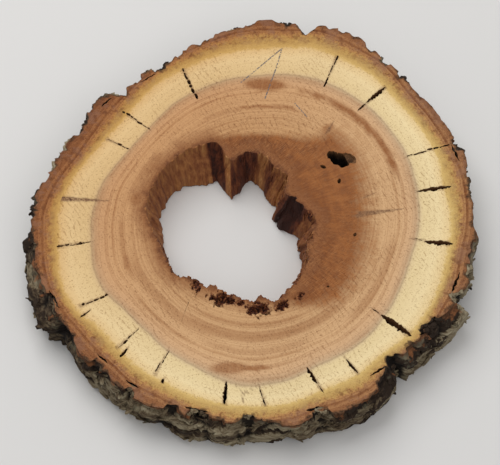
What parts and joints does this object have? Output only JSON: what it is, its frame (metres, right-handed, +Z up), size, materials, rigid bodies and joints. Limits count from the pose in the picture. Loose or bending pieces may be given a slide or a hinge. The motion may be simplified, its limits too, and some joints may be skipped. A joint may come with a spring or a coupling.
{
  "type": "wood slice",
  "caption": "Flat round slice of a hollow log with its bark on: a ragged hole through the heart, a cream sapwood ring and drying cracks along the radius.",
  "frame": {"origin": "under the middle of the slice, on its lower sawn face", "axes": "+Z up along the log's own axis, square to both sawn faces; +X and +Y lie across the slice"},
  "size_m": [0.2828, 0.2847, 0.03],
  "materials": {
    "wood": "dry sawn end grain, unsealed, with grey-brown bark round the edge"
  },
  "bodies": {
    "root": {"wood_slice": "wood"}
  },
  "joints": []
}
